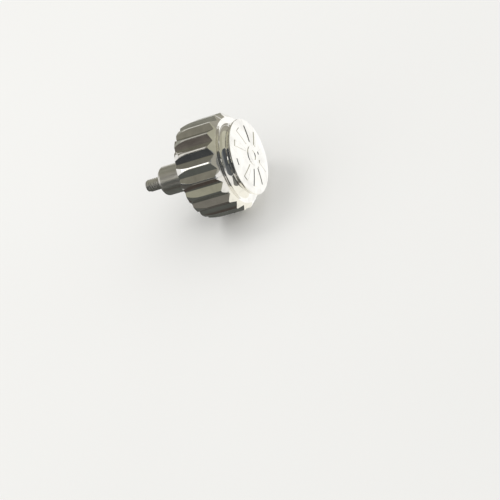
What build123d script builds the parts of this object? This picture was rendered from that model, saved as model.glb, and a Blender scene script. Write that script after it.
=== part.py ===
from build123d import *
from math import atan2, cos, pi, radians, sin, sqrt
import os

# A screw-down winding crown for a watch case, with a spring-loaded stem post.
# It lies along X: the cap is towards +X, and the origin is the centre of the skirt's end face.

# Head along the axis, from the skirt's end to the top of the dome
lead_in_length = 0.5  # slight taper at the skirt's end
lead_in_drop = 0.14
grip_end = 2.72  # where the lands stop and the bevel starts
bevel_length = 0.41
cove_radius = 0.45  # the hollow between the bevel's shelf and the neck
neck_to_cap = 0.32
cap_rim_thickness = 0.13
cap_edge_chamfer = 0.03
dome_rise = 0.3
cap_floor = 0.3  # metal between the cap's underside and the sleeve's recess
sleeve_recess_depth = 0.75  # beyond the skirt bore

# Head across the axis, each size added to the one inside it, up to 7.0 mm
sleeve_diameter = 3.8
tube_space = 0.71  # between the sleeve and the core, for the case tube
core_wall = 0.27
skirt_wall = 0.32  # under the roots of the flutes
flute_depth = 0.28
flute_count = 20
land_width = 0.13
neck_wall = 0.55  # outside the sleeve's recess
shelf_width = 0.17
cap_overhang = 0.25

# Threaded core
core_start = 0.12  # set back from the skirt's end
core_mouth_chamfer = 0.1

# Drive sleeve and retaining ring
sleeve_start = 0.25
sleeve_wall = 0.318  # outside the hexagon's corners
sleeve_chamfer = 0.06
ring_thickness = 0.35
ring_land = 0.04  # how far the ring's seat stands outside the hexagon's corners
ring_chamfer = 0.06

# Stem post
hexagon_shoulder = 0.29  # how far the hexagon's flats stand outside the barrel
barrel_reach = 2.9  # how far the barrel stands out of the skirt
barrel_end_round = 0.28
barrel_wall = 0.34  # round the spring
bore_end_wall = 0.4  # between the spring's bore and the stud's hole
relief_length = 0.6  # turned behind the hexagon, so that it seats flat on the ring
relief_depth = 0.16
hexagon_length = 0.8
hexagon_chamfer = 0.12
hexagon_chamfer_length = 0.07
post_travel = 1.2

# Stem stud: a shank screwed into the barrel and a plain end with a shoulder
stud_diameter = 0.9
stud_reach = 1.35  # how far the stud stands out of the barrel
shank_diameter = 0.56
shank_length = 0.9
stud_chamfer = 0.09
shoulder_chamfer = 0.07

# Return spring and its seat
wire_diameter = 0.2
wire_sides = 12
spring_turns = 8
seat_bore_diameter = 0.6
seat_thickness = 0.12

# Seal
gasket_thickness = 0.42
washer_thickness = 0.1

# Fits
fixed_gap = 0.02  # solder or press line between pieces that don't move
running_gap = 0.03  # round the sliding barrel
hexagon_gap = 0.02  # on each flat of the sliding hexagon
stop_gap = 0.02  # between the hexagon and the ring at rest
spring_gap = 0.04  # round the spring in its bore
spring_end_gap = 0.01
overrun = 0.5  # how far cuts pass through the faces that they open

# Places along the axis that follow
shelf_place = grip_end + bevel_length
neck_place = shelf_place + cove_radius
cap_start = neck_place + neck_to_cap
cap_rim_end = cap_start + cap_rim_thickness
dome_top = cap_rim_end + dome_rise
recess_floor = cap_start - cap_floor
skirt_bore_depth = recess_floor - sleeve_recess_depth
core_end = skirt_bore_depth - fixed_gap
sleeve_end = recess_floor - fixed_gap
ring_end = sleeve_start + ring_thickness
hexagon_start = ring_end + fixed_gap + stop_gap
hexagon_end = hexagon_start + hexagon_length
relief_start = hexagon_start - relief_length
stud_end = barrel_reach + stud_reach
shank_hole_floor = barrel_reach - shank_length
spring_bore_floor = shank_hole_floor - bore_end_wall
seat_start = sleeve_end - seat_thickness
gasket_start = core_end - gasket_thickness
washer_start = gasket_start - fixed_gap - washer_thickness

# Radii that follow
sleeve_radius = sleeve_diameter / 2
recess_radius = sleeve_radius + fixed_gap
core_bore_radius = sleeve_radius + tube_space
core_radius = core_bore_radius + core_wall
skirt_bore_radius = core_radius + fixed_gap
root_radius = skirt_bore_radius + skirt_wall
head_radius = root_radius + flute_depth
rim_radius = head_radius - lead_in_drop
neck_radius = recess_radius + neck_wall
cove_mouth_radius = neck_radius + cove_radius
shelf_radius = cove_mouth_radius + shelf_width
cap_radius = neck_radius + cap_overhang
cap_face_radius = cap_radius - cap_edge_chamfer
sleeve_hexagon_radius = sleeve_radius - sleeve_wall
sleeve_flat_radius = sleeve_hexagon_radius * cos(pi / 6)
hexagon_flat_radius = sleeve_flat_radius - hexagon_gap
hexagon_radius = hexagon_flat_radius / cos(pi / 6)
ring_seat_radius = sleeve_hexagon_radius + ring_land
ring_radius = ring_seat_radius - fixed_gap
barrel_radius = hexagon_flat_radius - hexagon_shoulder
ring_bore_radius = barrel_radius + running_gap
spring_bore_radius = barrel_radius - barrel_wall
stud_radius = stud_diameter / 2
shank_radius = shank_diameter / 2
seat_radius = hexagon_flat_radius
gasket_radius = core_bore_radius - fixed_gap

os.makedirs("parts", exist_ok=True)


def save(part, name):
    """Label a finished piece and write it to its own file."""
    part.label = name
    export_step(part, f"parts/{name}.step")


def dome_middle(edge_place, edge_radius, rise):
    """Return the middle point of the arc from a dome's edge to its top on the axis."""
    ball = (edge_radius**2 + rise**2) / (rise * 2)
    centre = edge_place + rise - ball
    half_angle = atan2(edge_radius, edge_place - centre) / 2
    return (centre + ball * cos(half_angle), ball * sin(half_angle))


# One V-shaped flute seen along the axis, its root on the plane's X axis
land_edge_angle = pi / flute_count - land_width / 2 / head_radius
land_edge = (head_radius * cos(land_edge_angle), head_radius * sin(land_edge_angle))
open_edge = (2 * land_edge[0] - root_radius, 2 * land_edge[1])
with BuildSketch() as flute:
    with BuildLine():
        Polyline(
            (root_radius, 0),
            (open_edge[0], open_edge[1]),
            (open_edge[0], -open_edge[1]),
            close=True,
        )
    make_face()

# Fluted shell: the turned head, bored for the core and the sleeve
dome_edge = (cap_rim_end, cap_face_radius)
with BuildPart() as fluted_shell:
    with BuildSketch(Plane.XY):
        with BuildLine():
            Polyline(
                (dome_top, 0),
                (recess_floor, 0),
                (recess_floor, recess_radius),
                (skirt_bore_depth, recess_radius),
                (skirt_bore_depth, skirt_bore_radius),
                (0, skirt_bore_radius),
                (0, rim_radius),
                (lead_in_length, head_radius),
                (grip_end, head_radius),
                (shelf_place, shelf_radius),
                (shelf_place, cove_mouth_radius),
            )
            RadiusArc(
                (shelf_place, cove_mouth_radius),
                (neck_place, neck_radius),
                -cove_radius,
            )
            TangentArc(
                (neck_place, neck_radius),
                (cap_start, cap_face_radius),
                tangent=(1, 0),
            )
            Polyline(
                (cap_start, cap_face_radius),
                (cap_start + cap_edge_chamfer, cap_radius),
                (cap_rim_end - cap_edge_chamfer, cap_radius),
                dome_edge,
            )
            ThreePointArc(dome_edge, dome_middle(*dome_edge, dome_rise), (dome_top, 0))
        make_face()
    revolve(axis=Axis.X)

    # The flutes are milled through both ends of the grip
    with BuildSketch(Plane.YZ.offset(-overrun)):
        with PolarLocations(0, flute_count):
            add(flute.sketch)
    extrude(amount=overrun + shelf_place, mode=Mode.SUBTRACT)
save(fluted_shell.part, "fluted_shell")

# Threaded core: the sleeve inside the skirt, its mouth opened by a chamfer
with BuildPart() as threaded_core:
    with BuildSketch(Plane.YZ.offset(core_start)):
        Circle(core_radius)
        Circle(core_bore_radius, mode=Mode.SUBTRACT)
    extrude(amount=core_end - core_start)
    core_mouth = threaded_core.faces().sort_by(Axis.X)[0].edges().sort_by(SortBy.RADIUS)[0]
    chamfer(core_mouth, core_mouth_chamfer)
save(threaded_core.part, "threaded_core")

# Drive sleeve: hexagon broached through, counterbored at the mouth for its ring
with BuildPart() as drive_sleeve:
    with BuildSketch(Plane.YZ.offset(sleeve_start)):
        Circle(sleeve_radius)
        RegularPolygon(sleeve_hexagon_radius, 6, mode=Mode.SUBTRACT)
    extrude(amount=sleeve_end - sleeve_start)
    with BuildSketch(Plane.YZ.offset(sleeve_start)):
        Circle(ring_seat_radius)
    extrude(amount=ring_thickness + fixed_gap, mode=Mode.SUBTRACT)
    sleeve_mouth = drive_sleeve.faces().sort_by(Axis.X)[0].edges().sort_by(SortBy.RADIUS)[-1]
    chamfer(sleeve_mouth, sleeve_chamfer)
save(drive_sleeve.part, "drive_sleeve")

# Retaining ring: the post's stop, pressed into the sleeve's mouth
with BuildPart() as retaining_ring:
    with BuildSketch(Plane.YZ.offset(sleeve_start)):
        Circle(ring_radius)
        Circle(ring_bore_radius, mode=Mode.SUBTRACT)
    extrude(amount=ring_thickness)
    ring_mouth = retaining_ring.faces().sort_by(Axis.X)[0].edges().sort_by(SortBy.RADIUS)[0]
    chamfer(ring_mouth, ring_chamfer)
save(retaining_ring.part, "retaining_ring")

# Stem post: sliding barrel with a driving hexagon, hollow for the spring
with BuildPart() as stem_post:
    with BuildSketch(Plane.YZ.offset(-barrel_reach)):
        Circle(barrel_radius)
    extrude(amount=barrel_reach + hexagon_start)
    barrel_edge = stem_post.faces().sort_by(Axis.X)[0].edges()
    fillet(barrel_edge, barrel_end_round)
    with BuildSketch(Plane.YZ.offset(relief_start)):
        Circle(barrel_radius + overrun)
        Circle(barrel_radius - relief_depth, mode=Mode.SUBTRACT)
    extrude(amount=relief_length, mode=Mode.SUBTRACT)
    with BuildSketch(Plane.YZ.offset(hexagon_start)):
        RegularPolygon(hexagon_radius, 6)
    extrude(amount=hexagon_length)
    with BuildSketch(Plane.XY):
        with BuildLine():
            Polyline(
                (hexagon_end, hexagon_radius - hexagon_chamfer),
                (hexagon_end - hexagon_chamfer_length, hexagon_radius),
                (hexagon_end - hexagon_chamfer_length, hexagon_radius + overrun),
                (hexagon_end + overrun, hexagon_radius + overrun),
                (hexagon_end + overrun, hexagon_radius - hexagon_chamfer),
                close=True,
            )
        make_face()
        with BuildLine():
            Polyline(
                (hexagon_start, hexagon_radius - hexagon_chamfer),
                (hexagon_start + hexagon_chamfer_length, hexagon_radius),
                (hexagon_start + hexagon_chamfer_length, hexagon_radius + overrun),
                (hexagon_start - overrun, hexagon_radius + overrun),
                (hexagon_start - overrun, hexagon_radius - hexagon_chamfer),
                close=True,
            )
        make_face()
    revolve(axis=Axis.X, mode=Mode.SUBTRACT)
    with BuildSketch(Plane.YZ.offset(-spring_bore_floor)):
        Circle(spring_bore_radius)
    extrude(amount=spring_bore_floor + hexagon_end + overrun, mode=Mode.SUBTRACT)
    with BuildSketch(Plane.YZ.offset(-barrel_reach - overrun)):
        Circle(shank_radius + fixed_gap)
    extrude(amount=overrun + shank_length, mode=Mode.SUBTRACT)
save(stem_post.part, "stem_post")

# Stem stud: the thin end, its shoulder seated on the barrel's end face
with BuildPart() as stem_stud:
    with BuildSketch(Plane.YZ.offset(-stud_end)):
        Circle(stud_radius)
    extrude(amount=stud_reach)
    chamfer(stem_stud.faces().sort_by(Axis.X)[0].edges(), stud_chamfer)
    chamfer(stem_stud.faces().sort_by(Axis.X)[-1].edges(), shoulder_chamfer)
    with BuildSketch(Plane.YZ.offset(-barrel_reach)):
        Circle(shank_radius)
    extrude(amount=shank_length - fixed_gap)
save(stem_stud.part, "stem_stud")

# Return spring: a true helix, joined from two arcs to each quarter turn, its wire many-sided
wire_radius = wire_diameter / 2
coil_radius = spring_bore_radius - spring_gap - wire_radius
coil_start = wire_radius + spring_end_gap - spring_bore_floor
coil_end = seat_start - spring_end_gap - wire_radius
coil_pitch = (coil_end - coil_start) / spring_turns
quarter_count = 4 * spring_turns


def coil_point(quarter):
    """Return the wire's centre after a number of quarter turns."""
    angle = quarter * pi / 2
    return Vector(coil_start + quarter * coil_pitch / 4, coil_radius * cos(angle), coil_radius * sin(angle))


def coil_tangent(quarter):
    """Return the wire's direction after a number of quarter turns."""
    angle = quarter * pi / 2
    return Vector(coil_pitch / (2 * pi), -coil_radius * sin(angle), coil_radius * cos(angle)).normalized()


def middle_point(start, end, start_tangent, end_tangent):
    """Return where two tangent arcs between two points of the wire meet."""
    across = end - start
    both = start_tangent + end_tangent
    turn = 2 * (1 - start_tangent.dot(end_tangent))
    reach = (sqrt(across.dot(both) ** 2 + turn * across.dot(across)) - across.dot(both)) / turn
    return (start + end + (start_tangent - end_tangent) * reach) * 0.5


with BuildPart() as return_spring:
    with BuildLine() as coil:
        for quarter in range(quarter_count):
            first, last = coil_point(quarter), coil_point(quarter + 1)
            leaving, arriving = coil_tangent(quarter), coil_tangent(quarter + 1)
            middle = middle_point(first, last, leaving, arriving)
            first_half = TangentArc(first, middle, tangent=leaving)
            TangentArc(middle, last, tangent=first_half % 1)
    coil_wire = coil.wires()[0]
    with BuildSketch(Plane(origin=coil_point(0), z_dir=coil_tangent(0))):
        RegularPolygon(wire_radius, wire_sides)
    sweep(path=coil_wire)
save(return_spring.part, "return_spring")

# Spring seat: the thrust washer on the recess floor
with BuildPart() as spring_seat:
    with BuildSketch(Plane.YZ.offset(seat_start)):
        Circle(seat_radius)
        Circle(seat_bore_diameter / 2, mode=Mode.SUBTRACT)
    extrude(amount=seat_thickness)
save(spring_seat.part, "spring_seat")

# Tube gasket and its washer, round the drive sleeve at the bottom of the skirt
with BuildPart() as tube_gasket:
    with BuildSketch(Plane.YZ.offset(gasket_start)):
        Circle(gasket_radius)
        Circle(recess_radius, mode=Mode.SUBTRACT)
    extrude(amount=gasket_thickness)
save(tube_gasket.part, "tube_gasket")

with BuildPart() as gasket_washer:
    with BuildSketch(Plane.YZ.offset(washer_start)):
        Circle(gasket_radius)
        Circle(recess_radius, mode=Mode.SUBTRACT)
    extrude(amount=washer_thickness)
save(gasket_washer.part, "gasket_washer")

# The wire's least gap to itself, on points along it at least half a turn apart
sample_count = 80 * spring_turns
samples = [coil_wire @ (step / sample_count) for step in range(sample_count + 1)]
half_turn = 40
least_gap = min(
    (samples[low] - samples[high]).length - wire_diameter
    for low in range(len(samples))
    for high in range(low + half_turn, len(samples), 4)
)
print(f"spring: coil radius {coil_radius:.3f}, pitch {coil_pitch:.3f}, least gap to itself {least_gap:.3f}")
wire_section = wire_sides * wire_radius**2 * sin(2 * pi / wire_sides) / 2
print(f"wire length {coil_wire.length:.2f}, volume {return_spring.part.volume:.4f}")
print(f"wire section times length {wire_section * coil_wire.length:.4f}")
print(f"room left beyond the post at full travel {seat_start - hexagon_end - post_travel:.3f}")
print(f"head diameter {head_radius * 2:.3f}, cap diameter {cap_radius * 2:.3f}, neck diameter {neck_radius * 2:.3f}")
print(f"head length {dome_top:.3f}, hexagon across flats {hexagon_flat_radius * 2:.3f}")
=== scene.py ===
"""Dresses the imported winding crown: fine turned and milled metal, its spring, the studio and the camera."""

import logging
import math
from collections.abc import Callable, Sequence
from dataclasses import dataclass, field
from enum import Enum

import bmesh
import bpy
from mathutils import Matrix, Vector


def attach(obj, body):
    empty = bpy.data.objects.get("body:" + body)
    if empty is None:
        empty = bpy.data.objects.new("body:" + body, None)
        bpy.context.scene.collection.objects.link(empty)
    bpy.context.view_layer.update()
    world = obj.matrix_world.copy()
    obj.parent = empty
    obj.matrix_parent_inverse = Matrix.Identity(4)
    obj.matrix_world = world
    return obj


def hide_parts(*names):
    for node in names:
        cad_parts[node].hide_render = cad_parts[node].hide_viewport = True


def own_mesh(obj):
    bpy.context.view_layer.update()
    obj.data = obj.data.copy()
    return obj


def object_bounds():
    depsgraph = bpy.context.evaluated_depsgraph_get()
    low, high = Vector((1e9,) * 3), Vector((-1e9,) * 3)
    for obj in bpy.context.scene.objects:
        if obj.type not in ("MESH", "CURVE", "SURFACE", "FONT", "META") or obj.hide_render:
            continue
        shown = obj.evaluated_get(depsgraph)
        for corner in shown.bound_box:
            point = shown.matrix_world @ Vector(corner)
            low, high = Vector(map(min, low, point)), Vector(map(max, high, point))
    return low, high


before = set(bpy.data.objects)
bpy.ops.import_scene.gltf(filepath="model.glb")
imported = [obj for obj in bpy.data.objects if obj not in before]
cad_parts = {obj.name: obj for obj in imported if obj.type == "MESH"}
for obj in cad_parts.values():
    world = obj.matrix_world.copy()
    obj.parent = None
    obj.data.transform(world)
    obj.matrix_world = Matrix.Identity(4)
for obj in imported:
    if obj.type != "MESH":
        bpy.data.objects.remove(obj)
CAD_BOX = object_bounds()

LOG = logging.getLogger("winding_crown")
Point = tuple[float, float]
Colour = tuple[float, float, float]

# Shapes are drawn in millimetres, and a finished mesh is scaled to metres.
MM = 0.001
# Points nearer to each other than this, in millimetres, are one point.
WELD = 1e-4
AXIS = Vector((1.0, 0.0, 0.0))
CENTRE = Vector((0.0, 0.0, 0.0))
# Edges that turn by more degrees than this are shaded crisp.
SHARP_ANGLE = 11.0
# The head's outer edges that turn by more degrees than this are rounded off.
POLISHED_ANGLE = 28.0
HEXAGON_SIDES = 6


class Body(Enum):
    """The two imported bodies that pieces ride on."""

    HEAD = "head"
    POST = "post"


class Slot(Enum):
    """The material slots that the finishes stand for."""

    POLISHED = "polished_steel"
    TURNED = "turned_steel"
    SPRING = "spring_steel"
    SEAL = "seal"


class Grain(Enum):
    """Which way the fine marks of a finish run."""

    ROUND_AXIS = "round the axis"
    ALONG_AXIS = "along the axis"
    EVEN = "no direction"


def off_axis(point: Vector) -> float:
    """Gives a point's distance from the crown's axis."""
    return math.hypot(point.y, point.z)


def only(kind: type, geometry: Sequence) -> list:
    """Picks the elements of one kind out of an operator's mixed result."""
    return [element for element in geometry if isinstance(element, kind)]


def polished_off(edge: bmesh.types.BMEdge) -> bool:
    """Says whether an edge stands out so sharply that polishing rounds it off."""
    return edge.is_convex and edge.calc_face_angle(0.0) > math.radians(POLISHED_ANGLE)


def arc(centre: Point, radius: float, start: float, end: float, count: int) -> list[Point]:
    """Gives points along an arc of a turned outline.

    Args:
        centre: The arc's centre as place along the axis and radius from it.
        radius: The arc's radius in millimetres.
        start: Angle of the first point in degrees, from the axis outwards.
        end: Angle of the last point in degrees.
        count: How many steps the arc has.

    Returns:
        The count + 1 points, in order.
    """
    angles = [math.radians(start + (end - start) * step / count) for step in range(count + 1)]
    return [(centre[0] + radius * math.cos(a), centre[1] + radius * math.sin(a)) for a in angles]


def trace(bm: bmesh.types.BMesh, outline: Sequence[Point], closed: bool) -> list:
    """Lays a turned outline into the mesh as a chain of edges.

    Args:
        bm: The mesh.
        outline: Points as place along the axis and radius.
        closed: Whether the last point joins the first.

    Returns:
        The new vertices and edges.
    """
    verts = [bm.verts.new((x, r, 0.0)) for x, r in outline]
    pairs = list(zip(verts, verts[1:]))
    if closed:
        pairs.append((verts[-1], verts[0]))
    return verts + [bm.edges.new(pair) for pair in pairs]


def turn(bm: bmesh.types.BMesh, outline: Sequence[Point], steps: int, closed: bool = True) -> None:
    """Turns an outline a full circle round the axis.

    Args:
        bm: The mesh that gets the surface.
        outline: Points as place along the axis and radius.
        steps: Faces round the circle.
        closed: Whether the outline is a loop.
    """
    bmesh.ops.spin(
        bm, geom=trace(bm, outline, closed), cent=CENTRE, axis=AXIS,
        angle=math.tau, steps=steps, use_merge=True,
    )


def wind(bm: bmesh.types.BMesh, section: list, pitch: float, turns: float, steps: int) -> None:
    """Winds a closed section round the axis as a helix and closes its two ends.

    Args:
        bm: The mesh.
        section: The section's vertices and edges.
        pitch: Millimetres along the axis for each turn.
        turns: Number of turns.
        steps: Faces along each turn.
    """
    total = round(turns * steps)
    bmesh.ops.spin(
        bm, geom=section, cent=CENTRE, axis=AXIS, dvec=AXIS * (pitch / steps),
        angle=math.tau * turns, steps=total,
    )
    ends = [edge for edge in bm.edges if edge.is_boundary]
    bmesh.ops.holes_fill(bm, edges=ends, sides=0)


def thread_ridge(
    bm: bmesh.types.BMesh, middle: float, base: float, crest: float, foot: float, top: float,
) -> list:
    """Lays the section of a thread's ridge into the mesh.

    Args:
        bm: The mesh.
        middle: Where the ridge stands along the axis.
        base: Half its width at the foot.
        crest: Half its width at the top.
        foot: Radius of the foot.
        top: Radius of the top.

    Returns:
        The section's vertices and edges.
    """
    outline = [(middle - base, foot), (middle - crest, top), (middle + crest, top), (middle + base, foot)]
    return trace(bm, outline, True)


def ring_edges(bm: bmesh.types.BMesh, place: float, radius: float) -> list:
    """Finds the open edges of a turned surface at one place and radius.

    Args:
        bm: The mesh.
        place: Where the ring lies along the axis.
        radius: Its radius.

    Returns:
        The ring's edges.
    """
    return [
        edge for edge in bm.edges
        if edge.is_boundary and all(
            abs(v.co.x - place) < WELD and abs(off_axis(v.co) - radius) < WELD for v in edge.verts
        )
    ]


def hexagon_tube(
    bm: bmesh.types.BMesh, corner: float, start: float, end: float, cuts: int,
) -> tuple[list, list]:
    """Makes an open six-sided tube along the axis, a corner towards +Y.

    Args:
        bm: The mesh.
        corner: Radius of the corners.
        start: Where the tube starts along the axis.
        end: Where it ends.
        cuts: Extra points on each side, to meet a round edge.

    Returns:
        The edges of the first end and of the last.
    """
    upright = Matrix.Translation((start, 0.0, 0.0)) @ Matrix.Rotation(math.pi / 2, 4, "Y")
    made = bmesh.ops.create_circle(
        bm, cap_ends=False, segments=HEXAGON_SIDES, radius=corner,
        matrix=upright @ Matrix.Rotation(math.pi / 2, 4, "Z"),
    )["verts"]
    sides = list({edge for v in made for edge in v.link_edges})
    first = only(bmesh.types.BMEdge, bmesh.ops.subdivide_edges(bm, edges=sides, cuts=cuts)["geom"])
    drawn = bmesh.ops.extrude_edge_only(bm, edges=first)["geom"]
    bmesh.ops.translate(bm, vec=AXIS * (end - start), verts=only(bmesh.types.BMVert, drawn))
    return first, [e for e in only(bmesh.types.BMEdge, drawn) if e.is_boundary]


def soften(
    bm: bmesh.types.BMesh, wanted: Callable[[bmesh.types.BMEdge], bool], width: float, segments: int,
) -> None:
    """Breaks sharp outer edges with a small bevel.

    Args:
        bm: The mesh, with its normals already outward.
        wanted: Says whether an edge is one to break.
        width: How far the bevel reaches, in millimetres.
        segments: Faces across it.
    """
    edges = [e for e in bm.edges if len(e.link_faces) == 2 and wanted(e)]
    bmesh.ops.bevel(
        bm, geom=edges, offset=width, offset_type="OFFSET", segments=segments, profile=0.5,
        affect="EDGES", clamp_overlap=True, material=-1,
    )


def put_in_scene(bm: bmesh.types.BMesh, name: str) -> bpy.types.Object:
    """Scales a millimetre mesh to metres and puts it in the scene, its object at the origin.

    Args:
        bm: The mesh, freed here.
        name: The object's name.

    Returns:
        The new object.
    """
    bmesh.ops.scale(bm, vec=(MM, MM, MM), verts=bm.verts)
    mesh = bpy.data.meshes.new(name)
    bm.to_mesh(mesh)
    bm.free()
    placed = bpy.data.objects.new(name, mesh)
    bpy.context.scene.collection.objects.link(placed)
    return placed


def deliver(
    bm: bmesh.types.BMesh, name: str, material: bpy.types.Material, body: Body, slot: Slot, *nodes: str,
    sharp: float = SHARP_ANGLE,
) -> bpy.types.Object:
    """Turns a millimetre mesh into a finished piece that rides on its body.

    Args:
        bm: The mesh, freed here.
        name: The piece's name.
        material: Its finish.
        body: The body that carries it.
        slot: The slot that its finish stands for; not used.
        nodes: The CAD nodes that it replaces.
        sharp: Edges that turn by more degrees than this stay crisp.

    Returns:
        The new object.
    """
    bmesh.ops.remove_doubles(bm, verts=bm.verts, dist=WELD)
    bmesh.ops.dissolve_degenerate(bm, edges=bm.edges, dist=WELD)
    bmesh.ops.recalc_face_normals(bm, faces=bm.faces)
    piece = put_in_scene(bm, name)
    mesh = piece.data
    mesh.shade_smooth()
    mesh.set_sharp_from_angle(angle=math.radians(sharp))
    mesh.materials.append(material)
    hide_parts(*nodes)
    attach(piece, body.value)
    LOG.info("%s: %d faces, on %s", name, len(mesh.polygons), body.value)
    return piece


def keep_walls_flat(piece: bpy.types.Object, weight: int = 100) -> None:
    """Lets the large faces set the shading, so that flat walls look flat beside their rounded edges.

    Args:
        piece: The finished piece.
        weight: How far the large faces win over the small ones.
    """
    flat = piece.modifiers.new("flat_walls_stay_flat", "WEIGHTED_NORMAL")
    flat.mode = "FACE_AREA"
    flat.weight = weight
    flat.keep_sharp = True


def axis_place(tree: bpy.types.NodeTree, place: bpy.types.NodeSocket) -> bpy.types.NodeSocket:
    """Turns a place into its distances along and from the axis, in which marks run round the axis.

    Args:
        tree: The material's nodes.
        place: The object coordinates.

    Returns:
        The two distances, as X and Y.
    """
    nodes, links = tree.nodes, tree.links
    split = nodes.new("ShaderNodeSeparateXYZ")
    links.new(place, split.inputs[0])
    flat = nodes.new("ShaderNodeCombineXYZ")
    links.new(split.outputs["Y"], flat.inputs["Y"])
    links.new(split.outputs["Z"], flat.inputs["Z"])
    length = nodes.new("ShaderNodeVectorMath")
    length.operation = "LENGTH"
    links.new(flat.outputs[0], length.inputs[0])
    joined = nodes.new("ShaderNodeCombineXYZ")
    links.new(split.outputs["X"], joined.inputs["X"])
    links.new(length.outputs["Value"], joined.inputs["Y"])
    return joined.outputs[0]


@dataclass(frozen=True)
class Finish:
    """A metal or rubber surface with fine marks and soft smudges, patterned in object space."""

    name: str
    colour: Colour
    metallic: float
    roughness: float
    roughness_swing: float
    grain: Grain
    marks_per_mm: float
    mark_depth: float
    smudge: float
    smudge_size: float = 1.3
    long_mark: float = 0.05
    mark_detail: float = 3.0
    mark_breakup: float = 0.6
    mark_strength: float = 0.4
    mark_share: float = 0.5
    smudge_detail: float = 4.0
    smudge_swirl: float = 0.4
    tint_range: tuple[float, float] = (0.3, 0.6)
    dull_range: tuple[float, float] = (0.3, 0.7)
    least_roughness: float = 0.02

    def marks(self, tree: bpy.types.NodeTree) -> bpy.types.NodeSocket:
        """Builds the pattern of fine marks.

        Args:
            tree: The material's nodes.

        Returns:
            The marks' height, from 0 to 1.
        """
        nodes, links = tree.nodes, tree.links
        place = nodes.new("ShaderNodeTexCoord").outputs["Object"]
        if self.grain is Grain.ROUND_AXIS:
            place = axis_place(tree, place)
        spread = nodes.new("ShaderNodeMapping")
        along = self.long_mark if self.grain is Grain.ALONG_AXIS else 1.0
        spread.inputs["Scale"].default_value = (along / MM, 1.0 / MM, 1.0 / MM)
        links.new(place, spread.inputs["Vector"])
        noise = nodes.new("ShaderNodeTexNoise")
        noise.inputs["Scale"].default_value = self.marks_per_mm
        noise.inputs["Detail"].default_value = self.mark_detail
        noise.inputs["Roughness"].default_value = self.mark_breakup
        links.new(spread.outputs[0], noise.inputs["Vector"])
        return noise.outputs["Fac"]

    def smudges(self, tree: bpy.types.NodeTree) -> bpy.types.NodeSocket:
        """Builds the large soft pattern of handling marks.

        Args:
            tree: The material's nodes.

        Returns:
            The pattern, from 0 to 1.
        """
        nodes, links = tree.nodes, tree.links
        place = nodes.new("ShaderNodeTexCoord").outputs["Object"]
        cloud = nodes.new("ShaderNodeTexNoise")
        cloud.inputs["Scale"].default_value = 1.0 / (self.smudge_size * MM)
        cloud.inputs["Detail"].default_value = self.smudge_detail
        cloud.inputs["Distortion"].default_value = self.smudge_swirl
        links.new(place, cloud.inputs["Vector"])
        return cloud.outputs["Fac"]

    def tint(self, tree: bpy.types.NodeTree, smudges: bpy.types.NodeSocket) -> bpy.types.NodeSocket:
        """Darkens the colour a little where the surface is smudged.

        Args:
            tree: The material's nodes.
            smudges: The pattern of handling marks.

        Returns:
            The surface's colour.
        """
        ramp = tree.nodes.new("ShaderNodeValToRGB")
        ends = ramp.color_ramp.elements
        ends[0].position, ends[1].position = self.tint_range
        ends[0].color = (*(c * (1.0 - self.smudge) for c in self.colour), 1.0)
        ends[1].color = (*self.colour, 1.0)
        tree.links.new(smudges, ramp.inputs["Fac"])
        return ramp.outputs["Color"]

    def dulling(
        self, tree: bpy.types.NodeTree, marks: bpy.types.NodeSocket, smudges: bpy.types.NodeSocket,
    ) -> bpy.types.NodeSocket:
        """Lets marks and smudges vary how dull the surface is.

        Args:
            tree: The material's nodes.
            marks: The pattern of fine marks.
            smudges: The pattern of handling marks.

        Returns:
            The surface's roughness.
        """
        nodes, links = tree.nodes, tree.links
        both = nodes.new("ShaderNodeMath")
        both.operation = "MULTIPLY_ADD"
        both.inputs[1].default_value = self.mark_share
        links.new(marks, both.inputs[0])
        rest = nodes.new("ShaderNodeMath")
        rest.operation = "MULTIPLY"
        rest.inputs[1].default_value = 1.0 - self.mark_share
        links.new(smudges, rest.inputs[0])
        links.new(rest.outputs[0], both.inputs[2])
        dull = nodes.new("ShaderNodeMapRange")
        dull.inputs["From Min"].default_value, dull.inputs["From Max"].default_value = self.dull_range
        smoothest = max(self.roughness - self.roughness_swing, self.least_roughness)
        dull.inputs["To Min"].default_value = smoothest
        dull.inputs["To Max"].default_value = self.roughness + self.roughness_swing
        links.new(both.outputs[0], dull.inputs["Value"])
        return dull.outputs[0]

    def material(self) -> bpy.types.Material:
        """Builds the finish's material.

        Returns:
            A material whose colour, roughness and bump come from nodes.
        """
        made = bpy.data.materials.new(self.name)
        made.use_nodes = True
        tree = made.node_tree
        shader = tree.nodes["Principled BSDF"]
        shader.inputs["Metallic"].default_value = self.metallic
        marks, smudges = self.marks(tree), self.smudges(tree)
        tree.links.new(self.tint(tree, smudges), shader.inputs["Base Color"])
        tree.links.new(self.dulling(tree, marks, smudges), shader.inputs["Roughness"])
        bump = tree.nodes.new("ShaderNodeBump")
        bump.inputs["Strength"].default_value = self.mark_strength
        bump.inputs["Distance"].default_value = self.mark_depth * MM
        tree.links.new(marks, bump.inputs["Height"])
        tree.links.new(bump.outputs[0], shader.inputs["Normal"])
        return made


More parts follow.
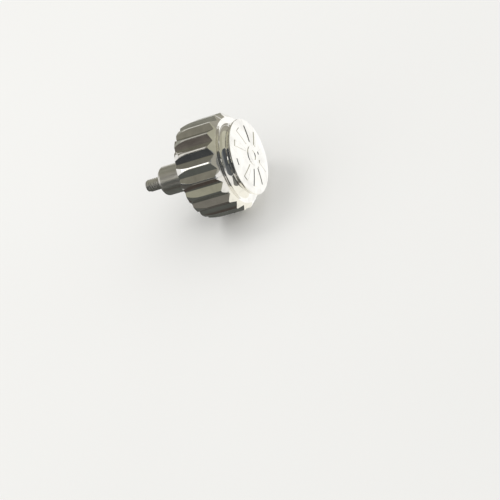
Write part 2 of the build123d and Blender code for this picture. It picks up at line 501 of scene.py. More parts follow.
MIRROR_STEEL = Finish(
    "mirror_polished_steel", colour=(0.86, 0.845, 0.815), metallic=1.0, roughness=0.07, roughness_swing=0.03,
    grain=Grain.ALONG_AXIS, marks_per_mm=14.0, mark_depth=0.0004, smudge=0.15, smudge_size=0.9,
)
POST_STEEL = Finish(
    "polished_post_steel", colour=(0.80, 0.785, 0.74), metallic=1.0, roughness=0.32, roughness_swing=0.05,
    grain=Grain.ROUND_AXIS, marks_per_mm=18.0, mark_depth=0.0015, smudge=0.12,
)
STUD_STEEL = Finish(
    "turned_stud_steel", colour=(0.66, 0.65, 0.62), metallic=1.0, roughness=0.38, roughness_swing=0.06,
    grain=Grain.ROUND_AXIS, marks_per_mm=22.0, mark_depth=0.002, smudge=0.15,
)
TURNED_STEEL = Finish(
    "fine_turned_steel", colour=(0.68, 0.67, 0.65), metallic=1.0, roughness=0.26, roughness_swing=0.06,
    grain=Grain.ROUND_AXIS, marks_per_mm=14.0, mark_depth=0.003, smudge=0.10,
)
SPRING_WIRE = Finish(
    "drawn_spring_wire", colour=(0.58, 0.58, 0.58), metallic=1.0, roughness=0.20, roughness_swing=0.05,
    grain=Grain.EVEN, marks_per_mm=20.0, mark_depth=0.001, smudge=0.12,
)
SEAL_RUBBER = Finish(
    "black_seal_rubber", colour=(0.04, 0.04, 0.045), metallic=0.0, roughness=0.5, roughness_swing=0.10,
    grain=Grain.EVEN, marks_per_mm=9.0, mark_depth=0.004, smudge=0.25,
)


@dataclass
class FlutedHead:
    """The one-piece steel head: flutes, bevel, hollow neck and domed cap with raised rays and a ring."""

    lead_in_length: float = 1.1
    rim_radius: float = 3.36
    head_radius: float = 3.5
    grip_end: float = 2.72
    shelf_place: float = 3.13
    shelf_radius: float = 3.09
    root_radius: float = 3.22
    flute_count: int = 20
    land_width: float = 0.13
    cove_radius: float = 0.45
    cove_start: float = -98.0
    neck_radius: float = 2.47
    cap_start: float = 3.9
    cap_radius: float = 2.72
    cap_edge: float = 0.03
    cap_rim_end: float = 4.03
    dome_top: float = 4.33
    dome_rings: tuple[float, ...] = (0.0, 0.2, 0.53, 0.84, 1.2, 1.45, 1.7, 1.95, 2.36, 2.53)
    core_bore: float = 2.9
    core_bore_depth: float = 2.85
    sleeve_bore: float = 1.92
    sleeve_bore_depth: float = 3.6
    wall_steps: int = 5
    lead_in_steps: int = 6
    neck_steps: int = 9
    cove_steps: int = 11
    skirt_wall: float = 0.1
    edge_break: float = 0.05
    edge_break_faces: int = 5
    cap_break: float = 0.012
    trim_break_faces: int = 2
    ray_count: int = 10
    ray_half_angle: float = 6.5
    ray_inner: float = 0.98
    ray_outer: float = 2.2
    boss_outer: float = 0.7
    boss_inner: float = 0.36
    relief_height: float = 0.045
    relief_break: float = 0.03

    @property
    def land_angle(self) -> float:
        """Angle from a flute's root to its land's edge."""
        return math.pi / self.flute_count - self.land_width / 2 / self.head_radius

    def dome(self) -> list[Point]:
        """Gives the dome's outline from its top on the axis to its edge.

        Returns:
            Points as place along the axis and radius.
        """
        edge = self.cap_radius - self.cap_edge
        rise = self.dome_top - self.cap_rim_end
        ball = (edge**2 + rise**2) / (2 * rise)
        middle = self.dome_top - ball
        relief = (self.boss_inner, self.boss_outer, self.ray_inner, self.ray_outer)
        radii = sorted((*self.dome_rings, *relief, edge))
        return [(middle + math.sqrt(ball**2 - r**2), r) for r in radii]

    def lead_in(self) -> list[Point]:
        """Gives the grip's rounded run down to the skirt's end.

        Returns:
            Points as place along the axis and radius.
        """
        drop = self.head_radius - self.rim_radius
        curve = (self.lead_in_length**2 + drop**2) / (2 * drop)
        lean = math.degrees(math.asin(self.lead_in_length / curve))
        centre = (self.lead_in_length, self.head_radius - curve)
        return arc(centre, curve, 90.0, 90.0 + lean, self.lead_in_steps)

    def neck(self) -> list[Point]:
        """Gives the neck's flare down from the cap and the hollow cove that ends it.

        Returns:
            Points as place along the axis and radius.
        """
        place = self.shelf_place + self.cove_radius
        reach = self.cap_start - place
        climb = self.cap_radius - self.cap_edge - self.neck_radius
        flare = (reach**2 + climb**2) / (2 * climb)
        lean = math.degrees(math.asin(reach / flare))
        cove_centre = (place, self.neck_radius + self.cove_radius)
        return [
            *arc((place, self.neck_radius + flare), flare, lean - 90.0, -90.0, self.neck_steps),
            *arc(cove_centre, self.cove_radius, self.cove_start, -180.0, self.cove_steps),
        ]

    def outline(self) -> list[Point]:
        """Gives the whole outline, from the dome's top round the outside and back through the bores.

        Returns:
            Points as place along the axis and radius.
        """
        return [
            *self.dome(),
            (self.cap_rim_end - self.cap_edge, self.cap_radius),
            (self.cap_start + self.cap_edge, self.cap_radius),
            *self.neck(),
            (self.shelf_place, self.shelf_radius),
            (self.grip_end, self.head_radius),
            *self.lead_in(),
            (0.0, self.core_bore),
            (self.core_bore_depth, self.core_bore),
            (self.core_bore_depth, self.sleeve_bore),
            (self.sleeve_bore_depth, self.sleeve_bore),
            (self.sleeve_bore_depth, 0.0),
        ]

    def wedge(self, bm: bmesh.types.BMesh) -> None:
        """Makes half a flute's wedge, from its root to the middle of the land, and cuts the wall.

        Args:
            bm: The mesh, empty so far.
        """
        half_pitch = math.pi / self.flute_count
        first = bmesh.ops.spin(
            bm, geom=trace(bm, self.outline(), True), cent=CENTRE, axis=AXIS,
            angle=self.land_angle, steps=self.wall_steps,
        )["geom_last"]
        bmesh.ops.spin(bm, geom=first, cent=CENTRE, axis=AXIS, angle=half_pitch - self.land_angle, steps=1)
        bmesh.ops.holes_fill(bm, edges=[e for e in bm.edges if e.is_boundary], sides=0)
        bmesh.ops.remove_doubles(bm, verts=bm.verts, dist=WELD)
        root = Vector((0.0, self.root_radius, 0.0))
        land = Matrix.Rotation(self.land_angle, 3, "X") @ Vector((0.0, self.head_radius, 0.0))
        outward = AXIS.cross(root - land).normalized()
        if outward.dot(root) < 0.0:
            outward.negate()
        bmesh.ops.bisect_plane(
            bm, geom=[*bm.verts, *bm.edges, *bm.faces], dist=WELD / 2, plane_co=root, plane_no=outward,
            clear_outer=True,
        )
        bmesh.ops.holes_fill(bm, edges=[e for e in bm.edges if e.is_boundary], sides=0)
        side = Matrix.Rotation(half_pitch, 3, "X") @ Vector((0.0, 0.0, 1.0))
        caps = [
            f for f in bm.faces
            if all(abs(v.co.z) < WELD for v in f.verts) or all(abs(v.co.dot(side)) < WELD for v in f.verts)
        ]
        bmesh.ops.delete(bm, geom=caps, context="FACES")

    def repeat(self, bm: bmesh.types.BMesh) -> None:
        """Mirrors the half wedge and sets it round the axis.

        Args:
            bm: The mesh that holds it.
        """
        bmesh.ops.mirror(bm, geom=[*bm.verts, *bm.edges, *bm.faces], merge_dist=WELD, axis="Z")
        pitch = math.tau / self.flute_count
        bmesh.ops.spin(
            bm, geom=[*bm.verts, *bm.edges, *bm.faces], cent=CENTRE, axis=AXIS,
            angle=pitch * (self.flute_count - 1), steps=self.flute_count - 1, use_duplicate=True,
        )
        bmesh.ops.remove_doubles(bm, verts=bm.verts, dist=WELD)
        bmesh.ops.dissolve_degenerate(bm, edges=bm.edges, dist=WELD)
        bmesh.ops.recalc_face_normals(bm, faces=bm.faces)

    def on_relief(self, face: bmesh.types.BMFace) -> bool:
        """Says whether a face of the dome belongs to a ray or to the ring in the middle.

        Args:
            face: A face of the head.

        Returns:
            Whether it is to be raised.
        """
        middle = face.calc_center_median()
        if middle.x < self.cap_rim_end:
            return False
        radius = off_axis(middle)
        if self.boss_inner < radius < self.boss_outer:
            return True
        pitch = 360.0 / self.ray_count
        angle = math.degrees(math.atan2(middle.z, middle.y)) % pitch
        return self.ray_inner < radius < self.ray_outer and min(angle, pitch - angle) < self.ray_half_angle

    def raise_relief(self, bm: bmesh.types.BMesh) -> None:
        """Raises the rays and the ring out of the dome and breaks their top edges.

        Args:
            bm: The head's mesh.
        """
        chosen = [f for f in bm.faces if self.on_relief(f)]
        made = bmesh.ops.extrude_face_region(bm, geom=chosen)["geom"]
        tops = set(only(bmesh.types.BMFace, made))
        bmesh.ops.delete(bm, geom=chosen, context="FACES")
        bmesh.ops.translate(bm, vec=AXIS * self.relief_height, verts=only(bmesh.types.BMVert, made))
        bmesh.ops.recalc_face_normals(bm, faces=bm.faces)
        soften(
            bm, lambda e: sum(f in tops for f in e.link_faces) == 1, self.relief_break, self.trim_break_faces,
        )

    def sharp_on_grip(self, edge: bmesh.types.BMEdge) -> bool:
        """Says whether an edge is one of the skirt's and grip's crisp ones, outside the bore's rim."""
        radius = min(off_axis(v.co) for v in edge.verts)
        return radius > self.core_bore + self.skirt_wall and polished_off(edge)

    def sharp_on_cap(self, edge: bmesh.types.BMEdge) -> bool:
        """Says whether an edge is one of the cap rim's crisp ones."""
        outside = min(off_axis(v.co) for v in edge.verts) > self.cap_radius - 2 * self.cap_edge
        return edge.verts[0].co.x > self.cap_start - WELD and outside and polished_off(edge)

    def build(self) -> bpy.types.Object:
        """Builds the head and sets it in place of its node.

        Returns:
            The head.
        """
        bm = bmesh.new()
        self.wedge(bm)
        self.repeat(bm)
        soften(bm, self.sharp_on_grip, self.edge_break, self.edge_break_faces)
        soften(bm, self.sharp_on_cap, self.cap_break, self.trim_break_faces)
        self.raise_relief(bm)
        head = deliver(
            bm, "fluted_head_polished", MIRROR_STEEL.material(), Body.HEAD, Slot.POLISHED, "fluted_shell",
        )
        keep_walls_flat(head)
        return head


@dataclass
class TubeSeat:
    """What the case tube meets inside the skirt: the threaded core, the seal and its washer."""

    start: float = 0.12
    end: float = 2.83
    bore: float = 2.61
    outside: float = 2.88
    mouth: float = 0.1
    edge: float = 0.02
    pitch: float = 0.35
    thread_start: float = 0.42
    thread_turns: float = 4.5
    thread_depth: float = 0.17
    thread_base: float = 0.15
    thread_crest: float = 0.03
    gasket_start: float = 2.41
    gasket_inner: float = 1.92
    gasket_outer: float = 2.59
    washer_start: float = 2.29
    washer_end: float = 2.39
    steps: int = 128

    def core(self) -> bpy.types.Object:
        """Builds the sleeve with its inside thread.

        Returns:
            The core.
        """
        bm = bmesh.new()
        turn(bm, [
            (self.start, self.bore + self.mouth), (self.start + self.mouth, self.bore), (self.end, self.bore),
            (self.end, self.outside - self.edge), (self.end - self.edge, self.outside),
            (self.start + self.edge, self.outside), (self.start, self.outside - self.edge),
        ], self.steps)
        foot, top = self.bore + self.edge / 2, self.bore - self.thread_depth
        section = thread_ridge(bm, self.thread_start, self.thread_base, self.thread_crest, foot, top)
        wind(bm, section, self.pitch, self.thread_turns, self.steps)
        return deliver(
            bm, "threaded_core_turned", TURNED_STEEL.material(), Body.HEAD, Slot.TURNED, "threaded_core",
        )

    def flat_ring(
        self, name: str, node: str, start: float, end: float, finish: Finish, slot: Slot,
    ) -> bpy.types.Object:
        """Builds a flat ring with broken edges at the bottom of the tube's space.

        Args:
            name: The piece's name.
            node: The CAD node that it replaces.
            start: Where it starts along the axis.
            end: Where it ends.
            finish: Its surface.
            slot: The slot that its finish stands for.

        Returns:
            The ring.
        """
        low, high, cut = self.gasket_inner, self.gasket_outer, self.edge
        bm = bmesh.new()
        turn(bm, [
            (start, low + cut), (start + cut, low), (end - cut, low), (end, low + cut),
            (end, high - cut), (end - cut, high), (start + cut, high), (start, high - cut),
        ], self.steps)
        return deliver(bm, name, finish.material(), Body.HEAD, slot, node)

    def build(self) -> None:
        """Builds the core, the seal and the washer."""
        self.core()
        self.flat_ring(
            "tube_gasket_rubber", "tube_gasket", self.gasket_start, self.end, SEAL_RUBBER, Slot.SEAL,
        )
        self.flat_ring(
            "gasket_washer_turned", "gasket_washer", self.washer_start, self.washer_end, TURNED_STEEL,
            Slot.TURNED,
        )


@dataclass
class DriveSleeve:
    """The hexagon-broached sleeve fixed in the head, with the ring that closes it and the spring's seat."""

    start: float = 0.25
    end: float = 3.58
    outside: float = 1.9
    edge: float = 0.06
    mouth_edge: float = 0.02
    back_edge: float = 0.03
    back_rim: float = 0.12
    corner: float = 1.582
    ring_seat: float = 1.622
    ring_seat_floor: float = 0.62
    ring_radius: float = 1.602
    ring_bore: float = 1.09
    ring_end: float = 0.6
    ring_edge: float = 0.03
    seat_start: float = 3.46
    seat_radius: float = 1.35
    seat_bore: float = 0.3
    seat_edge: float = 0.015
    steps: int = 96

    def sleeve(self) -> bpy.types.Object:
        """Builds the sleeve round its hexagon.

        Returns:
            The sleeve.
        """
        bm = bmesh.new()
        rim = self.outside - self.back_rim
        turn(bm, [
            (self.ring_seat_floor, self.ring_seat), (self.start + self.mouth_edge, self.ring_seat),
            (self.start, self.ring_seat + self.mouth_edge), (self.start, self.outside - self.edge),
            (self.start + self.edge, self.outside), (self.end - self.back_edge, self.outside),
            (self.end, self.outside - self.back_edge), (self.end, rim),
        ], self.steps, closed=False)
        cuts = self.steps // HEXAGON_SIDES - 1
        first, last = hexagon_tube(bm, self.corner, self.ring_seat_floor, self.end, cuts)
        bmesh.ops.bridge_loops(bm, edges=first + ring_edges(bm, self.ring_seat_floor, self.ring_seat))
        bmesh.ops.bridge_loops(bm, edges=last + ring_edges(bm, self.end, rim))
        return deliver(
            bm, "drive_sleeve_broached", TURNED_STEEL.material(), Body.HEAD, Slot.TURNED, "drive_sleeve",
        )

    def ring(self) -> bpy.types.Object:
        """Builds the retaining ring.

        Returns:
            The ring.
        """
        bm = bmesh.new()
        cut = self.ring_edge
        turn(bm, [
            (self.start, self.ring_bore + 2 * cut), (self.start + 2 * cut, self.ring_bore),
            (self.ring_end, self.ring_bore), (self.ring_end, self.ring_radius),
            (self.start + cut, self.ring_radius), (self.start, self.ring_radius - cut),
        ], self.steps)
        return deliver(
            bm, "retaining_ring_pressed", TURNED_STEEL.material(), Body.HEAD, Slot.TURNED, "retaining_ring",
        )

    def seat(self) -> bpy.types.Object:
        """Builds the washer under the spring.

        Returns:
            The washer.
        """
        bm = bmesh.new()
        cut = self.seat_edge
        turn(bm, [
            (self.seat_start, self.seat_bore + cut), (self.seat_start + cut, self.seat_bore),
            (self.end, self.seat_bore), (self.end, self.seat_radius - cut),
            (self.end - cut, self.seat_radius), (self.seat_start + cut, self.seat_radius),
            (self.seat_start, self.seat_radius - cut),
        ], self.steps)
        return deliver(
            bm, "spring_seat_washer", TURNED_STEEL.material(), Body.HEAD, Slot.TURNED, "spring_seat",
        )

    def build(self) -> None:
        """Builds the sleeve, its ring and the seat."""
        self.sleeve()
        self.ring()
        self.seat()


@dataclass
class ReturnSpring:
    """The round-wire coil spring."""

    wire: float = 0.1
    coil: float = 0.58
    first: float = -1.49
    last: float = 3.35
    turns: int = 8
    sides: int = 16
    steps: int = 48
    sharp: float = 40.0
    fixed_end: float = 3.45
    travel: float = 1.2

    def build(self) -> bpy.types.Object:
        """Builds the spring.

        Returns:
            The spring.
        """
        bm = bmesh.new()
        pitch = (self.last - self.first) / self.turns
        lean = math.atan2(pitch, math.tau * self.coil)
        placed = Matrix.Translation((self.first, self.coil, 0.0)) @ Matrix.Rotation(-lean, 4, "Y")
        circle = bmesh.ops.create_circle(
            bm, cap_ends=False, segments=self.sides, radius=self.wire, matrix=placed,
        )["verts"]
        edges = list({e for v in circle for e in v.link_edges})
        wind(bm, circle + edges, pitch, self.turns, self.steps)
        piece = deliver(
            bm, "return_spring_wire", SPRING_WIRE.material(), Body.HEAD, Slot.SPRING, "return_spring",
            sharp=self.sharp,
        )
        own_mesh(piece)
        return piece


@dataclass
class StemPost:
    """The sliding barrel with its driving hexagon, and the threaded stud at its end."""

    barrel: float = 1.06
    barrel_reach: float = 2.9
    end_round: float = 0.28
    end_round_steps: int = 12
    barrel_end: float = 0.04
    barrel_edge: float = 0.03
    relief: float = 0.9
    hexagon_start: float = 0.64
    hexagon_end: float = 1.44
    corner: float = 1.5589
    hexagon_edge: float = 0.05
    hexagon_edge_faces: int = 2
    hexagon_over_barrel: float = 0.1
    hexagon_rim_radians: float = 1.0
    spring_bore: float = 0.72
    spring_floor: float = -1.6
    shank_hole: float = 0.3
    shank_hole_edge: float = 0.02
    shank_floor: float = -2.0
    stud: float = 0.45
    stud_end: float = -4.25
    stud_chamfer: float = 0.09
    shoulder: float = 0.07
    shank: float = 0.28
    shank_end: float = -2.02
    pitch: float = 0.18
    thread_depth: float = 0.055
    thread_start: float = -4.11
    thread_turns: float = 5.5
    thread_base_share: float = 0.46
    thread_crest_share: float = 0.1
    thread_sink: float = 0.01
    runout_before: float = 0.02
    runout_after: float = 0.03
    steps: int = 96

    def barrel_piece(self) -> bpy.types.Object:
        """Builds the barrel, its bores and its hexagon as one closed shape.

        Returns:
            The post.
        """
        bm = bmesh.new()
        corner_centre = (self.end_round - self.barrel_reach, self.barrel - self.end_round)
        turn(bm, [
            (self.hexagon_start, self.relief), (self.barrel_end, self.relief),
            (self.barrel_end, self.barrel - self.barrel_edge),
            (self.barrel_end - self.barrel_edge, self.barrel),
            *arc(corner_centre, self.end_round, 90.0, 180.0, self.end_round_steps),
            (-self.barrel_reach, self.shank_hole + self.shank_hole_edge),
            (self.shank_hole_edge - self.barrel_reach, self.shank_hole),
            (self.shank_floor, self.shank_hole), (self.shank_floor, 0.0),
        ], self.steps, closed=False)
        turn(bm, [
            (self.spring_floor, 0.0), (self.spring_floor, self.spring_bore),
            (self.hexagon_end, self.spring_bore),
        ], self.steps, closed=False)
        cuts = self.steps // HEXAGON_SIDES - 1
        first, last = hexagon_tube(bm, self.corner, self.hexagon_start, self.hexagon_end, cuts)
        bmesh.ops.bridge_loops(bm, edges=first + ring_edges(bm, self.hexagon_start, self.relief))
        bmesh.ops.bridge_loops(bm, edges=last + ring_edges(bm, self.hexagon_end, self.spring_bore))
        bmesh.ops.remove_doubles(bm, verts=bm.verts, dist=WELD)
        bmesh.ops.recalc_face_normals(bm, faces=bm.faces)
        soften(bm, self.hexagon_rim, self.hexagon_edge, self.hexagon_edge_faces)
        return deliver(
            bm, "stem_post_polished", POST_STEEL.material(), Body.POST, Slot.POLISHED, "stem_post",
        )

    def hexagon_rim(self, edge: bmesh.types.BMEdge) -> bool:
        """Says whether an edge lies on the hexagon's two outlines.

        Args:
            edge: An edge of the post.

        Returns:
            Whether it is one to break.
        """
        places = (self.hexagon_start, self.hexagon_end)
        least = self.barrel + self.hexagon_over_barrel
        return all(
            min(abs(v.co.x - p) for p in places) < WELD and off_axis(v.co) > least for v in edge.verts
        ) and edge.calc_face_angle(0.0) > self.hexagon_rim_radians

    def stud_piece(self) -> bpy.types.Object:
        """Builds the stud with its thread for the winding stem.

        Returns:
            The stud.
        """
        bm = bmesh.new()
        core = self.stud - self.thread_depth
        neck = self.thread_start + self.thread_turns * self.pitch
        turn(bm, [
            (self.stud_end, 0.0), (self.stud_end, self.stud - self.stud_chamfer),
            (self.stud_end + self.stud_chamfer - self.thread_depth, core), (neck - self.runout_before, core),
            (neck + self.runout_after, self.stud), (-self.barrel_reach - self.shoulder, self.stud),
            (-self.barrel_reach, self.stud - self.shoulder), (-self.barrel_reach, self.shank),
            (self.shank_end, self.shank), (self.shank_end, 0.0),
        ], self.steps, closed=False)
        base, crest = self.pitch * self.thread_base_share, self.pitch * self.thread_crest_share
        section = thread_ridge(bm, self.thread_start, base, crest, core - self.thread_sink, self.stud)
        wind(bm, section, self.pitch, self.thread_turns, self.steps)
        return deliver(bm, "stem_stud_threaded", STUD_STEEL.material(), Body.POST, Slot.TURNED, "stem_stud")

    def build(self) -> None:
        """Builds the post and its stud."""
        self.barrel_piece()
        self.stud_piece()


def hang(bm: bmesh.types.BMesh, name: str, colour: Colour) -> None:
    """Turns a millimetre mesh into a glowing card that only reflections show.

    Args:
        bm: The card's mesh, freed here.
        name: The card's name.
        colour: How bright it is in each colour, where 1 is white.
    """
    card = put_in_scene(bm, name)
    card.data.shade_smooth()
    paper = bpy.data.materials.new(name)
    paper.use_nodes = True
    tree = paper.node_tree
    tree.nodes.clear()
    light = tree.nodes.new("ShaderNodeEmission")
    light.inputs["Color"].default_value = (*colour, 1.0)
    out = tree.nodes.new("ShaderNodeOutputMaterial")
    tree.links.new(light.outputs[0], out.inputs["Surface"])
    card.data.materials.append(paper)
    card.visible_camera = False
    card.visible_diffuse = False
    card.visible_shadow = False


@dataclass
class Card:
    """A glowing card bent round the axis, from a low to a high angle above the front: a painted reflection.
    """

    name: str
    low: float
    high: float
    left: float
    right: float
    colour: Colour
    distance: float = 90.0
    degrees_per_face: float = 4.0
    fewest_faces: int = 4

    def build(self) -> None:
        """Builds the card as an arc."""
        bm = bmesh.new()
        reach = self.high - self.low
        start = Matrix.Rotation(math.radians(180.0 - self.low), 3, "X") @ Vector((0.0, self.distance, 0.0))
        ends = [bm.verts.new((x, start.y, start.z)) for x in (self.left, self.right)]
        bmesh.ops.spin(
            bm, geom=[*ends, bm.edges.new(ends)], cent=CENTRE, axis=AXIS, angle=-math.radians(reach),
            steps=max(self.fewest_faces, int(abs(reach) / self.degrees_per_face)),
        )
        hang(bm, self.name, self.colour)


@dataclass
class Mat:
    """A glowing flat card on the floor that only reflections show: painted shade where dark, painted light
    where bright.
    """

    name: str
    left: float
    right: float
    front: float
    back: float
    colour: Colour

    def build(self, level: float) -> None:
        """Lays the mat on the floor.

        Args:
            level: The mat's height in millimetres.
        """
        bm = bmesh.new()
        half_side = 0.5
        bmesh.ops.create_grid(bm, x_segments=1, y_segments=1, size=half_side)
        bmesh.ops.scale(bm, vec=(self.right - self.left, self.back - self.front, 1.0), verts=bm.verts)
        middle = ((self.left + self.right) / 2, (self.front + self.back) / 2, level)
        bmesh.ops.translate(bm, vec=middle, verts=bm.verts)
        hang(bm, self.name, self.colour)


@dataclass
class Studio:
    """The plain pale floor, the white surroundings, the cards and mats that paint reflections, and the lamp.
    """

    floor_level: float = CAD_BOX[0].z / MM
    floor_reach: float = 600.0
    floor_squares: int = 4
    floor_colour: Colour = (0.86, 0.86, 0.85)
    floor_roughness: float = 0.9
    floor_shade: float = 0.97
    floor_cloud_scale: float = 40.0
    mat_lift: float = 0.02
    surround: Colour = (1.0, 0.995, 0.98)
    surround_glow: float = 0.95
    # Painted reflections, seen only in the metal: dark cards paint shade, pale ones light, strips the edges'
    # highlights.
    cards: list[Card] = field(default_factory=lambda: [
        Card("card_front_low", -16.0, 4.0, -250.0, -25.0, (0.12, 0.12, 0.11)),
        Card("card_front_left", 4.0, 14.5, -250.0, -54.0, (0.10, 0.095, 0.085)),
        Card("card_front_grey", 4.0, 14.5, -54.0, -25.0, (0.205, 0.195, 0.17)),
        Card("card_front_dark", 14.5, 36.0, -250.0, -25.0, (0.055, 0.058, 0.06)),
        Card("card_front_pale", 36.0, 51.5, -70.0, -25.0, (0.34, 0.335, 0.26)),
        Card("card_front_brown", 51.5, 70.0, -82.0, -25.0, (0.11, 0.097, 0.088)),
        Card("card_over_front", 70.0, 105.0, -84.0, -25.0, (0.23, 0.22, 0.18)),
        Card("card_over", 105.0, 124.0, -250.0, -25.0, (0.175, 0.17, 0.14)),
        Card("card_over_back", 124.0, 140.0, -250.0, -25.0, (0.36, 0.365, 0.32)),
        Card("card_back_brown", 140.0, 158.0, -250.0, -25.0, (0.17, 0.155, 0.125)),
        Card("card_back_low", 158.0, 180.0, -250.0, -25.0, (0.34, 0.34, 0.29)),
        Card("card_camera_low", -30.0, 32.0, -25.0, 62.0, (0.12, 0.128, 0.132)),
        Card("card_camera_high", 32.0, 85.0, -25.0, 62.0, (0.078, 0.086, 0.093)),
        Card("card_camera_right", -30.0, 85.0, 62.0, 134.0, (0.18, 0.195, 0.20)),
        Card("card_far_right", 20.0, 85.0, 134.0, 200.0, (0.38, 0.37, 0.32)),
        Card("card_end_right", 20.0, 85.0, 200.0, 900.0, (0.17, 0.178, 0.175)),
        Card("card_end_low", -30.0, 20.0, 215.0, 900.0, (0.15, 0.155, 0.15)),
        Card("card_neck_over", 85.0, 150.0, -25.0, 45.0, (0.58, 0.57, 0.455)),
        Card("card_right_over", 85.0, 150.0, 45.0, 900.0, (0.46, 0.45, 0.355)),
        Card("card_right_back", 150.0, 177.5, -25.0, 140.0, (0.38, 0.365, 0.31)),
        Card("strip_low", 47.0, 56.0, -5.2, 0.5, (1.7, 1.68, 1.62), 9.0),
        Card("strip_middle", 77.0, 84.0, -5.2, 0.3, (0.85, 0.84, 0.80), 9.0),
        Card("strip_high", 106.5, 113.5, -4.2, 0.3, (0.55, 0.54, 0.50), 9.0),
        Card("strip_back", 137.5, 145.0, -4.2, 0.3, (0.85, 0.84, 0.78), 9.0),
    ])
    # Painted floor reflections: dark mats paint shade under and in front of the crown, bright ones paint lit
    # floor.
    mats: list[Mat] = field(default_factory=lambda: [
        Mat("mat_front_left", -80.0, 2.2, -60.0, -8.2, (0.10, 0.105, 0.095)),
        Mat("mat_front_brown", -80.0, 2.2, -8.2, -5.2, (0.07, 0.058, 0.05)),
        Mat("mat_front_edge", -80.0, 2.2, -5.2, -2.4, (0.115, 0.12, 0.11)),
        Mat("mat_under_post", -80.0, -0.3, -2.4, 6.0, (0.115, 0.12, 0.11)),
        Mat("mat_front_near", 2.2, 9.0, -6.0, -1.2, (1.05, 1.03, 0.93)),
        Mat("mat_front_middle", 2.2, 7.5, -60.0, -6.0, (0.22, 0.22, 0.20)),
        Mat("mat_front_far", 7.5, 80.0, -60.0, -6.0, (0.95, 0.94, 0.90)),
        Mat("mat_back_right", 2.2, 60.0, -1.2, 30.0, (1.2, 1.2, 1.18)),
        Mat("mat_back_far", 2.2, 90.0, 30.0, 200.0, (0.38, 0.365, 0.31)),
    ])

    def floor_paper(self) -> bpy.types.Material:
        """Builds the floor's dull, faintly clouded material.

        Returns:
            The material.
        """
        paper = bpy.data.materials.new("pale_floor")
        paper.use_nodes = True
        tree = paper.node_tree
        shader = tree.nodes["Principled BSDF"]
        shader.inputs["Roughness"].default_value = self.floor_roughness
        shader.inputs["Specular IOR Level"].default_value = 0.0
        place = tree.nodes.new("ShaderNodeTexCoord").outputs["Object"]
        cloud = tree.nodes.new("ShaderNodeTexNoise")
        cloud.inputs["Scale"].default_value = self.floor_cloud_scale
        tree.links.new(place, cloud.inputs["Vector"])
        tint = tree.nodes.new("ShaderNodeValToRGB")
        tint.color_ramp.elements[0].color = (*(c * self.floor_shade for c in self.floor_colour), 1.0)
        tint.color_ramp.elements[1].color = (*self.floor_colour, 1.0)
        tree.links.new(cloud.outputs["Fac"], tint.inputs["Fac"])
        tree.links.new(tint.outputs["Color"], shader.inputs["Base Color"])
        return paper

    def floor(self) -> None:
        """Builds the floor under the crown."""
        bm = bmesh.new()
        squares = self.floor_squares
        bmesh.ops.create_grid(bm, x_segments=squares, y_segments=squares, size=self.floor_reach)
        bmesh.ops.translate(bm, vec=(0.0, 0.0, self.floor_level), verts=bm.verts)
        floor = put_in_scene(bm, "studio_floor")
        floor.data.materials.append(self.floor_paper())

    def world(self) -> None:
        """Sets the even white surroundings."""
        world = bpy.data.worlds.new("white_room")
        world.use_nodes = True
        back = world.node_tree.nodes["Background"]
        back.inputs["Color"].default_value = (*self.surround, 1.0)
        back.inputs["Strength"].default_value = self.surround_glow
        bpy.context.scene.world = world

    def lamp(
        self, name: str, place: Point, height: float, size: float, radiance: float, colour: Colour,
    ) -> None:
        """Hangs a square soft lamp that shines on the crown.

        Args:
            name: The lamp's name.
            place: Where it hangs over the floor, in millimetres along X and Y.
            height: How high, in millimetres.
            size: The square's side in millimetres.
            radiance: How bright its face is, where 1 is white.
            colour: Its tint.
        """
        data = bpy.data.lights.new(name, "AREA")
        data.shape = "SQUARE"
        data.size = size * MM
        data.color = colour
        data.energy = radiance * math.pi * data.size**2
        lamp = bpy.data.objects.new(name, data)
        bpy.context.scene.collection.objects.link(lamp)
        spot = Vector((place[0], place[1], height)) * MM
        lamp.matrix_world = Matrix.Translation(spot) @ (-spot).to_track_quat("-Z", "Y").to_matrix().to_4x4()
        lamp.visible_glossy = False

    def build(self) -> None:
        """Builds the floor, the surroundings, the cards, the mats and the lamp."""
        self.floor()
        self.world()
        for card in self.cards:
            card.build()
        for mat in self.mats:
            mat.build(self.floor_level + self.mat_lift)
        self.lamp("lamp_over_left", (-70.0, 40.0), 150.0, 70.0, 2.5, (1.0, 0.99, 0.96))


@dataclass
class PhotoCamera:
    """The photograph's camera, from the crown's fitted place in it."""

    turned: float = -15.2
    tipped: float = 26.0
    rolled: float = 42.0
    rim_centre: tuple[float, float, float] = (-3.557, -5.528, 140.3)
    lens: float = 144.0
    sensor: float = 36.0
    nearest: float = 0.01
    farthest: float = 5.0

    def build(self) -> None:
        """Sets the camera so that the crown stands where the photograph has it."""
        turned, tipped, rolled = (math.radians(x) for x in (self.turned, self.tipped, self.rolled))
        level = math.cos(tipped)
        axis = Vector((level * math.cos(turned), level * math.sin(turned), -math.sin(tipped)))
        near = Vector((0.0, 0.0, -1.0))
        near = (near - axis * near.dot(axis)).normalized()
        seen = Matrix((axis, near, axis.cross(near))).transposed()
        own = Matrix((
            AXIS, (0.0, -math.cos(rolled), math.sin(rolled)), (0.0, -math.sin(rolled), -math.cos(rolled)),
        ))
        to_row = (seen @ own).transposed()
        place = -(to_row @ Vector(self.rim_centre)) * MM
        facing = Matrix((to_row.col[0], -to_row.col[1], -to_row.col[2])).transposed()
        data = bpy.data.cameras.new("photo_camera")
        data.lens, data.sensor_width = self.lens, self.sensor
        data.clip_start, data.clip_end = self.nearest, self.farthest
        camera = bpy.data.objects.new("photo_camera", data)
        bpy.context.scene.collection.objects.link(camera)
        camera.matrix_world = Matrix.Translation(place) @ facing.to_4x4()
        bpy.context.scene.camera = camera


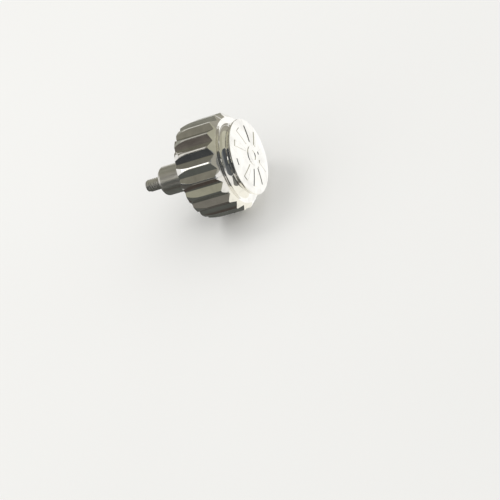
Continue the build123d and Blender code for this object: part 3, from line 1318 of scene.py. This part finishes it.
def main() -> None:
    """Builds the crown's pieces in order, then the studio and the camera."""
    logging.basicConfig(level=logging.INFO, format="%(message)s")
    bpy.context.scene.view_settings.view_transform = "Standard"
    PhotoCamera().build()
    FlutedHead().build()
    TubeSeat().build()
    DriveSleeve().build()
    ReturnSpring().build()
    StemPost().build()
    Studio().build()


if __name__ == "__main__":
    main()
